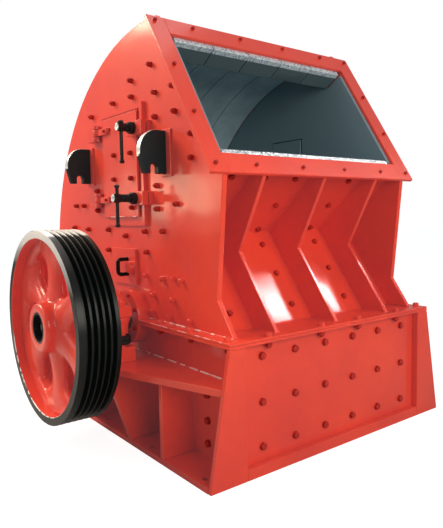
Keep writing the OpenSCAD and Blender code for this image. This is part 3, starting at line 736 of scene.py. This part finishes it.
# %% Side and base welds
# Pale patches painted on the red are painted highlights along the beads and the ledge edge.
bead_paint = red_enamel("bead_paint")
painted_glints = ramp(bead_paint, (0.045, 3), (0.47, 0.0), (0.53, 1.0))
cover(bead_paint, painted_glints, (0.95, 0.62, 0.56))
shelf_lo, shelf_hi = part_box("bearing_shelf_right")
edge_inset, base_half = 0.0022, 1.115


def along_y(x, z, *ends):
    return [(x, y, z) for y in ends]


seam_lines = [along_y(base_x, z, -base_half, base_half) for z in (shelf_lo.z, 0.030)]
for y in (-0.730, -0.380, 0.100, 0.730):
    for side in (-rib_half, rib_half):
        seam_lines.append([(base_x, y + side, 0.032), (base_x, y + side, shelf_lo.z)])
welds("side_welds", both_sides(seam_lines))
ledge_lines = [along_y(side_x, over, -1.085, -0.30), along_y(side_x, over, 0.02, 1.075),
               along_y(base_x, shelf_hi.z, -base_half, base_half)]
welds("ledge_welds", both_sides(ledge_lines), width=0.011, finish=bead_paint)
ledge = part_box("housing_flange")[1].x - edge_inset
welds("ledge_edges", both_sides([along_y(ledge, over - edge_inset, -1.100, 1.100)]), width=0.0042,
      finish=bead_paint, ripple=0.3)

# %% [markdown]
# ## Turned parts
# Screws, nuts, sleeves and knobs are turned on a lathe, and the same idea builds them here: a profile of
# (place along the axis, radius) is spun round that axis. The helper adds one turned shape to a bmesh, so
# that several can share one piece, and it can cut a real thread by letting the radius follow a helix.


# %% Helpers for turned parts
def joined(bm, rings, capped=False):
    for low, high in zip(rings, rings[1:]):
        sides = max(len(low), len(high))
        for i in range(sides):
            j = (i + 1) % sides
            if len(low) == 1:
                bm.faces.new((low[0], high[j], high[i]))
            elif len(high) == 1:
                bm.faces.new((low[i], low[j], high[0]))
            else:
                bm.faces.new((low[i], low[j], high[j], high[i]))
    if capped:
        bm.faces.new(rings[0][::-1])
        bm.faces.new(rings[-1])


def lathe(bm, place, axis, sections, capped=False):
    """Join rings round an axis, each given as (place along it, the radius of every point)."""
    spin = Vector(axis).normalized().to_track_quat("Z", "Y").to_matrix()
    rings = []
    for along, radii in sections:
        rings.append([])
        for i, radius in enumerate(radii):
            angle = 2 * math.pi * i / len(radii)
            local = Vector((math.cos(angle) * radius, math.sin(angle) * radius, along))
            rings[-1].append(bm.verts.new(Vector(place) + spin @ local))
    joined(bm, rings, capped)


def turned(bm, profile, place, axis=(0, 0, 1), sides=28):
    lathe(bm, place, axis, [(along, [radius] * (sides if radius > 0 else 1)) for along, radius in profile])


def threaded(bm, place, axis, length, radius, pitch, depth, sides=24):
    steps = max(2, int(length / pitch * 6))
    sections = []
    for along in (length * k / steps for k in range(steps + 1)):
        phases = [(along / pitch - i / sides) % 1.0 for i in range(sides)]
        sections.append((along, [radius - depth * (1 - abs(2 * phase - 1)) for phase in phases]))
    lathe(bm, place, axis, sections, capped=True)


def piece_from(bm, name, finish=red_paint, body="frame", smooth=35):
    bmesh.ops.recalc_face_normals(bm, faces=bm.faces)
    mesh = bpy.data.meshes.new(name)
    bm.to_mesh(mesh)
    bm.free()
    for face in mesh.polygons:
        face.use_smooth = True
    mesh.set_sharp_from_angle(angle=math.radians(smooth))
    mesh.materials.append(finish)
    return hand_over(add_object(name, mesh), body)


def block(bm, low, high, place=lambda x, y, z: (x, y, z)):
    """A rectangular bar between two corners, each corner put where place says."""
    corners = [bm.verts.new(place(x, y, z)) for x in (low[0], high[0]) for y in (low[1], high[1])
               for z in (low[2], high[2])]
    for face in ((0, 1, 3, 2), (4, 6, 7, 5), (0, 4, 5, 1), (2, 3, 7, 6), (0, 2, 6, 4), (1, 5, 7, 3)):
        bm.faces.new([corners[i] for i in face])


# %% [markdown]
# ## Bearing bolts
# Each bearing cap is held down by two long bolts. Every bolt stands in a painted spacer sleeve, with a black
# rubber ring at its foot and a painted cap nut on top. The plain turned shape in the model is replaced by
# these three, each with its own finish.

# %% Bearing sleeves, rings and cap nuts
bearing_x = 0.940
sleeve = [(0.5605, 0), (0.5605, 0.028), (0.640, 0.028), (0.700, 0.045), (0.722, 0.053), (0.7295, 0.053),
          (0.7295, 0)]
ring = [(0.578, 0), (0.578, 0.050), (0.583, 0.056), (0.597, 0.056), (0.601, 0.051), (0.603, 0.051),
        (0.607, 0.056), (0.621, 0.056), (0.626, 0.050), (0.626, 0)]
nut_washer = [(0.7902, 0), (0.7902, 0.033), (0.795, 0.033), (0.795, 0.0)]
nut = [(0.795, 0), (0.795, 0.030), (0.797, 0.032), (0.812, 0.032), (0.815, 0.028), (0.815, 0)]
nut_dome = [(0.814, 0), (0.814, 0.026), (0.824, 0.025), (0.832, 0.020), (0.838, 0.011), (0.840, 0)]
sleeve_bm, ring_bm, nut_bm = bmesh.new(), bmesh.new(), bmesh.new()
for place in ((x, y, 0) for x in (-bearing_x, bearing_x) for y in (-0.345, 0.065)):
    turned(sleeve_bm, sleeve, place)
    turned(ring_bm, ring, place)
    turned(nut_bm, nut_washer, place)
    turned(nut_bm, nut, place, sides=6)
    turned(nut_bm, nut_dome, place)
piece_from(sleeve_bm, "bearing_sleeves")
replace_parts(piece_from(ring_bm, "bearing_rings", rubber), "bearing_studs")
piece_from(nut_bm, "bearing_cap_nuts")

# %% [markdown]
# A bearing housing also has a cover ring with small bolts on each face, and a grease cup on top. The shaft
# seals in the walls are bolted in the same way, so one helper finds the places of both rings of bolts.

# %% Bearing covers and grease cups
shaft_mid = sum(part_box("rotor_discs"), Vector()) / 2
cover_circle, seal_circle, cover_front = 0.129, 0.142, 0.0105
along_x = (1, 0, 0)
cup = [(0.862, 0), (0.862, 0.014), (0.876, 0.014), (0.877, 0.022), (0.884, 0.024), (0.897, 0.024),
       (0.903, 0.018), (0.905, 0)]
cover_ring = [(-0.001, 0.080), (-0.001, 0.148), (0.008, 0.148), (0.011, 0.144), (0.011, 0.112),
              (0.018, 0.106), (0.018, 0.080), (-0.001, 0.080)]


def round_shaft(x, radius, degrees):
    turn = math.radians(degrees)
    return Vector((x, shaft_mid.y + radius * math.cos(turn), shaft_mid.z + radius * math.sin(turn)))


cup_bm, cover_bm, cover_places = bmesh.new(), bmesh.new(), []
for side in (-1, 1):
    turned(cup_bm, cup, (side * bearing_x, shaft_mid.y, 0), sides=20)
    for face, way in ((0.8675, -1), (1.0125, 1)):
        turned(cover_bm, cover_ring, (side * face, shaft_mid.y, shaft_mid.z), (side * way, 0, 0), 40)
        front, out = side * (face + way * cover_front), (side * way, 0, 0)
        cover_places += [(round_shaft(front, cover_circle, 30 + 60 * k), out) for k in range(6)]
piece_from(cup_bm, "grease_cups", zinc)
piece_from(cover_bm, "bearing_covers")
bolts("bearing_cover_bolts", cover_places, across=0.017, head=0.008, washer=0.019, seed=17)
seal_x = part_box("shaft_seals")[1].x
seal_places = [(round_shaft(seal_x, seal_circle, 22.5 + 45 * k), along_x) for k in range(8)]
bolts("seal_bolts", both_sides(seal_places), across=0.020, head=0.009, washer=0.024, seed=19)

# %% [markdown]
# ## Pulley rim
# A V-belt rim is turned on a lathe from end to end, so it is one profile spun round the shaft: five grooves
# with small broken edges, two flat side faces and a smooth bore. The profile is worked out from the groove's
# pitch, width and depth. Its surfaces have their own finishes: black on the tread, bare turned steel on the
# side faces, red paint inside, and pale marks painted along the lower part of the edge between those two, a
# painted highlight. The side faces are painted bright near the top and dark lower down, a painted reflection
# and painted shade, and a pale band painted on the very top of the tread is a painted highlight.

# %% Rim finishes
rim_lo, rim_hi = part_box("pulley_rim")
rim_mid = (rim_lo + rim_hi) / 2
rim_radius = (rim_hi.z - rim_lo.z) / 2
rim_inner = rim_radius - 0.046


def height_on_rim(finish):
    """1 near the top of the rim and -1 near its bottom, along a line that leans a little to the front."""
    place = parts_of(finish)
    y = times(finish, sums(finish, "SUBTRACT", place["Y"], rim_mid.y), -0.14 / rim_radius)
    z = times(finish, sums(finish, "SUBTRACT", place["Z"], rim_mid.z), 0.99 / rim_radius)
    return sums(finish, "ADD", y, z)


tread_black = new_finish("tread_black", (0.004, 0.007, 0.007), 0.3, Specular_IOR_Level=0.3)
uneven = times(tread_black, noise(tread_black, 0.02, 3), 0.02)
top = sums(tread_black, "ADD", height_on_rim(tread_black), uneven)
# A pale band painted on the very top of the tread is a painted highlight.
painted_top_highlight = ramp(tread_black, top, (0.984, 0.0), (0.996, 1.0))
black = blend_colors(tread_black, noise(tread_black, 0.05, 3), (0.002, 0.004, 0.004), (0.006, 0.009, 0.008))
lead(tread_black, "Base Color", blend_colors(tread_black, painted_top_highlight, black, (0.88, 0.87, 0.84)))
face_steel = new_finish("face_steel", (0.30, 0.31, 0.31), 0.32, Specular_IOR_Level=0.3)
uneven = times(face_steel, noise(face_steel, 0.16, 4, rough=0.6), 0.2)
painted_light_and_shade = sums(face_steel, "ADD", height_on_rim(face_steel), uneven)
# The side face is painted bright near the top and near black lower down: painted reflection and painted
# shade.
vary(face_steel, "Base Color", painted_light_and_shade, (0.62, (0.006, 0.009, 0.009)), (0.74, (0.36, 0.37, 0.37)),
     (0.90, (0.86, 0.87, 0.86)))
vary(face_steel, "Metallic", painted_light_and_shade, (0.62, 0.1), (0.76, 0.6))
for finish in (tread_black, face_steel):
    relief(finish, ((0.012, 2), 0.0005, 0.3))
# Pale marks on the lower inner edge of the rim are a painted highlight.
chipped_edge = new_finish("chipped_edge", (0.86, 0.84, 0.82), 0.4, 0.3)
vary(chipped_edge, "Base Color", (0.03, 3), (0.40, (0.10, 0.03, 0.03)),
     (0.52, (0.88, 0.86, 0.84)))
print("pulley rim radius", round(rim_radius, 4), "inner", round(rim_inner, 4))

# %% Turn the rim
rim_long = rim_hi.x - rim_lo.x
pitch, groove_wide, groove_deep, groove_slant, land, broken = 0.034, 0.028, 0.028, 0.0091, 0.024, 0.0009
outer_corner, bore_corner = 0.0018, 0.0035
profile = [(0.0, rim_inner + bore_corner), (0.0, rim_radius - outer_corner), (outer_corner, rim_radius)]
first = rim_long - land - 4 * pitch - groove_wide
for k in range(5):
    a, b = first + k * pitch, first + k * pitch + groove_wide
    profile += [(a - broken, rim_radius), (a + broken * 0.4, rim_radius - broken),
                (a + groove_slant, rim_radius - groove_deep), (b - groove_slant, rim_radius - groove_deep),
                (b - broken * 0.4, rim_radius - broken), (b + broken, rim_radius)]
profile += [(rim_long - outer_corner, rim_radius), (rim_long, rim_radius - outer_corner),
            (rim_long, rim_inner + bore_corner), (rim_long - bore_corner, rim_inner),
            (bore_corner, rim_inner), (0.0, rim_inner + bore_corner)]


def on_axle(x):
    return Vector((x, rim_mid.y, rim_mid.z))


rim_bm = bmesh.new()
turned(rim_bm, profile, on_axle(rim_lo.x), along_x, 160)
bmesh.ops.remove_doubles(rim_bm, verts=rim_bm.verts, dist=merge_within)
rim = piece_from(rim_bm, "pulley_tread", tread_black, "rotor", 25)
for finish in (face_steel, red_paint, chipped_edge):
    rim.data.materials.append(finish)
for face in rim.data.polygons:
    far = math.hypot(face.center.y - rim_mid.y, face.center.z - rim_mid.z)
    if abs(face.normal.x) > 0.99:
        face.material_index = 1
    elif far < rim_inner + 0.0005:
        face.material_index = 2
    elif far < rim_inner + bore_corner + 0.0001:
        face.material_index = 3 if face.center.z < rim_mid.z - 0.1 else 2
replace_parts(rim, "pulley_rim")

# %% [markdown]
# ## Pulley casting
# A belt pulley is cast in one piece, and iron doesn't run into sharp corners: the hub swells into each arm,
# and each arm spreads again where it meets the rim. Modelling those fillets by hand would be slow. Instead
# the hub is turned, each arm is a stack of ellipses that widens at both ends, and a voxel remesh melts them
# into one skin. Smoothing then rounds the corners between them, as a mould maker's fillets do. Points that
# would pass through the rim are drawn back to it.

# %% Hub and arms
arms_lo, arms_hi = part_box("pulley_arms")
arm_mid, hub_long = rim_lo.x + 0.107, arms_hi.x - arms_lo.x
hub = [(0, 0.084), (0, 0.130), (0.006, 0.137), (0.050, 0.142), (0.100, 0.158), (0.135, 0.158), (0.185, 0.142),
       (hub_long - 0.006, 0.137), (hub_long, 0.130), (hub_long, 0.084), (0, 0.084)]
web = [(-0.026, 0.440), (-0.040, 0.452), (-0.054, 0.497), (0.054, 0.497), (0.040, 0.452), (0.026, 0.440),
       (-0.026, 0.440)]
arm_sections = [(0.090, 0.100, 0.064), (0.160, 0.096, 0.057), (0.204, 0.082, 0.048), (0.248, 0.077, 0.042),
                (0.289, 0.079, 0.039), (0.328, 0.091, 0.038), (0.361, 0.118, 0.039), (0.379, 0.148, 0.041),
                (0.400, 0.186, 0.044), (0.440, 0.220, 0.048), (0.500, 0.250, 0.056)]
spider_bm = bmesh.new()
turned(spider_bm, hub, on_axle(arms_lo.x), along_x, 72)
turned(spider_bm, web, on_axle(arm_mid), along_x, 96)
arm_points = 24
angles = [2 * math.pi * i / arm_points for i in range(arm_points)]
for k in range(6):
    turn = math.radians(60 * k)
    outward = Vector((0, math.sin(turn), math.cos(turn)))
    across_arm = Vector((0, math.cos(turn), -math.sin(turn)))
    stack = []
    for reach, wide, deep in arm_sections:
        middle = on_axle(arm_mid) + outward * reach
        stack.append([spider_bm.verts.new(middle + across_arm * wide * math.cos(a)
                                          + Vector((deep * math.sin(a), 0, 0))) for a in angles])
    joined(spider_bm, stack, capped=True)
spider = piece_from(spider_bm, "pulley_spider", red_paint, "rotor", smooth=180)
skin = spider.modifiers.new("skin", "REMESH")
skin.mode = "VOXEL"
skin.voxel_size = 0.0065
skin.use_smooth_shade = True
soft = spider.modifiers.new("soft", "SMOOTH")
soft.factor = 0.5
soft.iterations = 16
settle(spider)
reach = rim_inner + 0.0004
for vertex in spider.data.vertices:
    flat = Vector((0, vertex.co.y - rim_mid.y, vertex.co.z - rim_mid.z))
    if flat.length > reach:
        flat.length = reach
        vertex.co = (vertex.co.x, rim_mid.y + flat.y, rim_mid.z + flat.z)
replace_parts(spider, "pulley_arms")
print("pulley_spider", len(spider.data.polygons), "faces")

# %% [markdown]
# A black bush lines the bore, and the shaft stops short inside it behind a plate with one bolt.

# %% Pulley bore
shaft_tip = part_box("rotor_shaft")[0].x
bush_end = shaft_tip - arms_lo.x + 0.004
bush = [(0.003, 0.0755), (0.003, 0.086), (bush_end, 0.086), (bush_end, 0.0755), (0.003, 0.0755)]
end_plate = [(-0.0085, 0), (-0.0085, 0.058), (-0.0065, 0.060), (-0.0002, 0.060), (-0.0002, 0)]
end_bolt = [(-0.0225, 0), (-0.0225, 0.019), (-0.020, 0.021), (-0.0084, 0.021), (-0.0084, 0)]
bore_bm = bmesh.new()
turned(bore_bm, bush, on_axle(arms_lo.x), along_x, 48)
turned(bore_bm, end_plate, on_axle(shaft_tip), along_x, 48)
turned(bore_bm, end_bolt, on_axle(shaft_tip), along_x, 6)
piece_from(bore_bm, "pulley_bore", black_steel, "rotor")

# %% [markdown]
# ## Grab handles
# The grip on each shaft cover is one bent round bar, so its corners are curves. The sweep that lays the weld
# beads makes it too, with no ripple.

# %% Shaft cover grips
grip_lo, grip_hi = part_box("cover_handles")
grip_y, grip_mid = (grip_lo.y + grip_hi.y) / 2, (grip_lo.z + grip_hi.z) / 2
cover_x, grip_x, grip_half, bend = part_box("shaft_covers")[1].x - 0.030, grip_hi.x - 0.013, 0.046, 0.020
grip_line = [(cover_x, grip_y, grip_mid - grip_half)]
for corner, start in ((-grip_half + bend, -90), (grip_half - bend, 0)):
    for angle in (math.radians(start + 15 * step) for step in range(7)):
        grip_line.append((grip_x - bend + bend * math.cos(angle), grip_y,
                          grip_mid + corner + bend * math.sin(angle)))
grip_line.append((cover_x, grip_y, grip_mid + grip_half))
grips = welds("cover_grips", both_sides([grip_line]), width=0.025, finish=black_paint, slot="black_paint",
              ripple=0.0)
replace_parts(grips, "cover_handles")

# %% [markdown]
# ## Clamp screws
# Two screws hold each hatch door shut. A screw is a threaded rod with a collar behind it and a loose tommy
# bar through its end, which has slid down under its own weight. Small knobs keep the bar from falling out.
# The thread is a real helix, so it catches the light as a thread does, and the end of the rod is bare steel.

# %% Clamp screws
hands = ((-1, "left"), (1, "right"))
screw_lo, screw_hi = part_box("clamp_screws_right")
door_face, clamp_face = (corner.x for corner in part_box("door_clamps_right"))
screw_y, bar_long, knob = -0.290, 0.240, 0.015
screws = [(1.395, 0.142, screw_lo.z, screw_lo.z + bar_long),
          (1.793, 0.104, screw_hi.z - bar_long, screw_hi.z)]
collar = [(0.0002, 0), (0.0002, 0.033), (0.003, 0.035), (0.025, 0.035), (0.028, 0.032), (0.028, 0)]
lock_nut = [(0.027, 0), (0.027, 0.028), (0.040, 0.028), (0.040, 0)]
for side, hand in hands:
    screw_bm, tip_bm = bmesh.new(), bmesh.new()
    for height, rod_end, bar_low, bar_high in screws:
        start, out, bar_at = (side * clamp_face, screw_y, height), (side, 0, 0), rod_end - 0.028
        boss = [(bar_at - 0.020, 0), (bar_at - 0.020, 0.023), (bar_at - 0.017, 0.025),
                (rod_end - 0.005, 0.025), (rod_end - 0.002, 0.0225)]
        tip = [(rod_end - 0.0021, 0.0225), (rod_end, 0.021), (rod_end, 0.004), (rod_end - 0.002, 0)]
        tommy_bar = [(bar_low, 0), (bar_low, 0.009), (bar_low + 0.004, knob), (bar_low + 0.014, knob),
                     (bar_low + 0.018, 0.010), (bar_high - 0.018, 0.010), (bar_high - 0.014, knob),
                     (bar_high - 0.004, knob), (bar_high, 0.009), (bar_high, 0)]
        turned(screw_bm, collar, start, out)
        turned(screw_bm, lock_nut, start, out, 6)
        threaded(screw_bm, (side * (clamp_face + 0.038), screw_y, height), out, length=bar_at - 0.056,
                 radius=0.0235, pitch=0.008, depth=0.0035)
        turned(screw_bm, boss, start, out)
        turned(tip_bm, tip, start, out)
        turned(screw_bm, tommy_bar, (side * (clamp_face + bar_at), screw_y, 0), sides=20)
    body = "hatch_" + hand
    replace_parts(piece_from(screw_bm, "hatch_screws_" + hand, black_steel, body),
                "clamp_screws_" + hand)
    piece_from(tip_bm, "hatch_screw_tips_" + hand, bright_steel, body)

# %% [markdown]
# ## Hatch doors
# The door carries its own piece of liner on the inside, so that the chamber wall has no weak place, and it
# closes on a rubber strip. Its bolts and the hinge screws ride with the door.

# %% Hatch liners, gaskets and bolts
hole_low, hole_high = (-0.1975, 1.3475), (0.1325, 1.8475)
liner_low = hole_low[0] + 0.018, hole_low[1] + 0.006
liner_high = hole_high[0] - 0.006, hole_high[1] - 0.006
strip_inner = 0.7355
gasket_strips = (((-0.235, 1.310), (-0.217, 1.885)), ((0.152, 1.310), (0.170, 1.885)),
                 ((-0.217, 1.310), (0.152, 1.328)), ((-0.217, 1.867), (0.152, 1.885)))
door_bolts = [(0.020, 1.670), (-0.190, 1.665), (0.030, 1.523), (-0.192, 1.517), (-0.192, 1.345)]
strap_bolts = [(0.120, 1.400), (0.040, 1.400), (0.120, 1.830), (0.040, 1.830)]
gasket_bm = bmesh.new()
for side, hand in hands:
    body = "hatch_" + hand
    liner_bm = bmesh.new()
    near, outer = sorted((side * 0.668, side * 0.7412))
    block(liner_bm, (near, *liner_low), (outer, *liner_high))
    bevel(piece_from(liner_bm, "hatch_liner_" + hand, wear_steel, body), 0.004)
    low_x, high_x = sorted((side * strip_inner, side * 0.7402))
    for low, high in gasket_strips:
        block(gasket_bm, (low_x, *low), (high_x, *high))
    door_x, out = side * door_face, (side, 0, 0)
    bolts("hatch_bolts_" + hand, [((door_x, y, z), out) for y, z in door_bolts], body=body, across=0.026,
          head=0.016, washer=0.030, thread=0.006, seed=21 + side)
    strap_x = door_x + side * 0.018
    bolts("hatch_strap_bolts_" + hand, [((strap_x, y, z), out) for y, z in strap_bolts], body=body,
          across=0.018, head=0.007, washer=0.020, thread=0.001, seed=25 + side)
piece_from(gasket_bm, "hatch_gaskets", rubber)

# %% [markdown]
# A dark strip stands out past the door's top and rear edges and draws a thin dark line there, a painted
# shade for the gap round the door. A pale line along the lower edge of the door is a painted highlight.

# %% Door outlines
door_lo, door_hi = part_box("hatch_door_right")
gap_shade_low, gap_shade_high = door_hi.z - 0.004, door_hi.z + 0.014
gap_shade_front, gap_shade_rear = 0.186, 0.216
# The dark strip is painted shade for the gap round the door.
gap_shade_bm = bmesh.new()
for side, hand in hands:
    low_x, high_x = sorted((side * strip_inner, side * 0.7408))
    block(gap_shade_bm, (low_x, door_lo.y, gap_shade_low), (high_x, gap_shade_rear, gap_shade_high))
    block(gap_shade_bm, (low_x, gap_shade_front, door_lo.z), (high_x, gap_shade_rear, gap_shade_low))
piece_from(gap_shade_bm, "hatch_seals", bolt_paint)
for side, hand in hands:
    # A pale line on the door's lower edge: painted highlight.
    glint_line = along_y(side * (door_face - 0.001), door_lo.z + 0.0015, -0.235, 0.110)
    welds("hatch_scuffs_" + hand, [glint_line], body="hatch_" + hand, width=0.005, finish=bead_paint, ripple=0.3)

# %% [markdown]
# ## Mouth lip
# The edge of the mouth takes the first blow of every stone, so it has loose bars of hard steel inside it,
# worn bright: five along the lower edge and a row down each side. They are short bars with small gaps, laid
# along the opening, and a seeded random offset keeps them from looking like one strip.

# %% Lip bars
lip_bm, dice = bmesh.new(), random.Random(4)
bars_half, bar_gap, most_offset = 0.664, 0.002, 0.003
bar_front, bar_back = 0.0205, 0.040
bar_wide = 2 * bars_half / 5
lower_edge, lower_top = 0.1215, 0.160
side_outer, side_inner, side_start, side_pitch, side_long = 0.6915, 0.681, 0.150, 0.105, 0.102
for k in range(5):
    low, high = -bars_half + k * bar_wide + bar_gap, -bars_half + (k + 1) * bar_wide - bar_gap
    drop = dice.uniform(0, most_offset)
    block(lip_bm, (low, lower_edge, bar_front + drop), (high, lower_top, bar_back), on_mouth)
for side in (-1, 1):
    for k in range(7):
        low = side_start + k * side_pitch
        a, b = sorted((side * side_outer, side * (side_inner - dice.uniform(0, most_offset))))
        drop = dice.uniform(0, most_offset)
        block(lip_bm, (a, low, bar_front + drop), (b, low + side_long, bar_back), on_mouth)
bevel(piece_from(lip_bm, "mouth_lip_bars", bright_steel), 0.0015)

# %% Seams of the mouth flange
seam_lines = [[on_mouth(x, s, 0.0015) for s in ends] for x in (-wall_inner, wall_inner)
              for ends in ((0.004, 0.118), (0.917, 1.031))]
welds("mouth_flange_seams", seam_lines, width=0.006)

# %% [markdown]
# ## Back of the housing
# The rounded roof and the upright back carry the same liner bolts. Their places follow the roof's own rule:
# equal angles about the centre that the curve is struck from.

# %% Roof and back bolts
roof_outer, back_row = 1.407, 0.790
roof_places = []
for angle in range(68, -4, -12):
    way = Vector((0, math.cos(math.radians(angle)), math.sin(math.radians(angle))))
    roof_places += [(roof_mid + way * roof_outer + Vector((x, 0, 0)), way) for x in columns]
back_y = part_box("roof_plate")[1].y
roof_places += [(Vector((x, back_y, back_row)), (0, 1, 0)) for x in columns]
bolts("roof_bolts", roof_places, seed=29)
